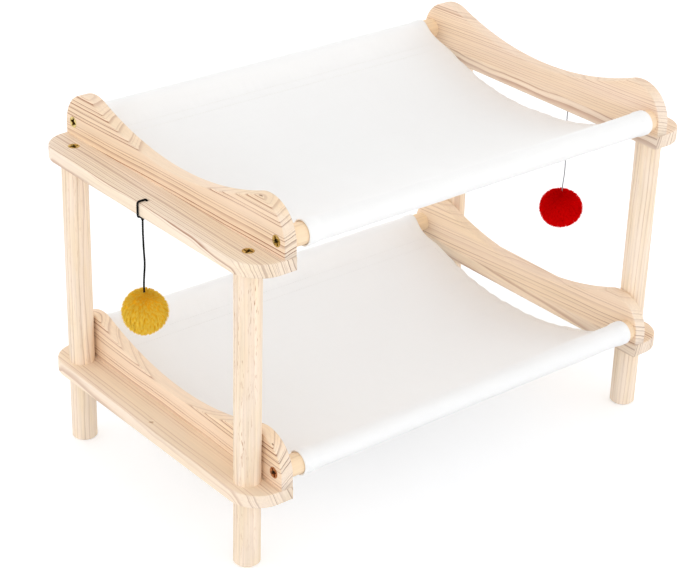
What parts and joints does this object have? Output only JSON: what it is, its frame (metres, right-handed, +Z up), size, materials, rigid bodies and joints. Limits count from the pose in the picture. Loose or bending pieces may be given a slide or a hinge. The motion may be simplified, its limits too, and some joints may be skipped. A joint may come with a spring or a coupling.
{
  "type": "cat hammock",
  "caption": "Two-tier free-standing wooden cat hammock: canvas slings on round rods between scalloped end panels, on round legs, with hanging pom-pom toys.",
  "frame": {"origin": "on the floor, under the middle of the frame", "axes": "+X along the rods to the picture's right, +Y from front to back, +Z up"},
  "size_m": [0.5605, 0.337, 0.3575],
  "materials": {
    "pine_board": "bare sanded pine",
    "pine_leg": "bare turned pine",
    "pine_rod": "bare turned pine",
    "canvas": "matt plain-woven cotton canvas",
    "yellow_zinc": "yellow zinc plating, satin",
    "steel": "plain zinc plating",
    "black_cord": "braided cord",
    "grey_cord": "thin twisted cord",
    "ochre_wool": "fluffy cut pile",
    "red_wool": "dense cut pile"
  },
  "bodies": {
    "frame": {"lower_leg_front_left": "pine_leg", "lower_leg_front_right": "pine_leg", "lower_leg_back_left": "pine_leg", "lower_leg_back_right": "pine_leg", "upper_leg_front_left": "pine_leg", "upper_leg_front_right": "pine_leg", "upper_leg_back_left": "pine_leg", "upper_leg_back_right": "pine_leg", "lower_board_left": "pine_board", "lower_board_right": "pine_board", "upper_board_left": "pine_board", "upper_board_right": "pine_board", "lower_panel_left": "pine_board", "lower_panel_right": "pine_board", "upper_panel_left": "pine_board", "upper_panel_right": "pine_board", "lower_rod_front": "pine_rod", "lower_rod_back": "pine_rod", "upper_rod_front": "pine_rod", "upper_rod_back": "pine_rod", "lower_sling": "canvas", "upper_sling": "canvas", "lower_rod_screws": "yellow_zinc", "upper_rod_screws": "yellow_zinc", "lower_panel_screws": "yellow_zinc", "upper_panel_screws": "yellow_zinc", "leg_top_screws": "yellow_zinc", "leg_studs": "steel", "left_toy_loop": "black_cord", "right_toy_loop": "grey_cord"},
    "left_swivel": {"left_toy_knot": "black_cord"},
    "left_toy": {"left_toy_string": "black_cord", "left_pompom": "ochre_wool"},
    "right_swivel": {"right_toy_knot": "grey_cord"},
    "right_toy": {"right_toy_string": "grey_cord", "right_pompom": "red_wool"}
  },
  "joints": [
    {"name": "left_toy_sideways_swing", "type": "hinge", "parent": "frame", "child": "left_swivel", "pos_m": [-0.259, -0.003, 0.2962], "axis": [0, 1, 0], "range_deg": [-45, 45]},
    {"name": "left_toy_forward_swing", "type": "hinge", "parent": "left_swivel", "child": "left_toy", "pos_m": [-0.259, -0.003, 0.2962], "axis": [1, 0, 0], "range_deg": [-45, 45]},
    {"name": "right_toy_sideways_swing", "type": "hinge", "parent": "frame", "child": "right_swivel", "pos_m": [0.259, -0.01, 0.297], "axis": [0, 1, 0], "range_deg": [-45, 45]},
    {"name": "right_toy_forward_swing", "type": "hinge", "parent": "right_swivel", "child": "right_toy", "pos_m": [0.259, -0.01, 0.297], "axis": [1, 0, 0], "range_deg": [-40, 40]}
  ]
}
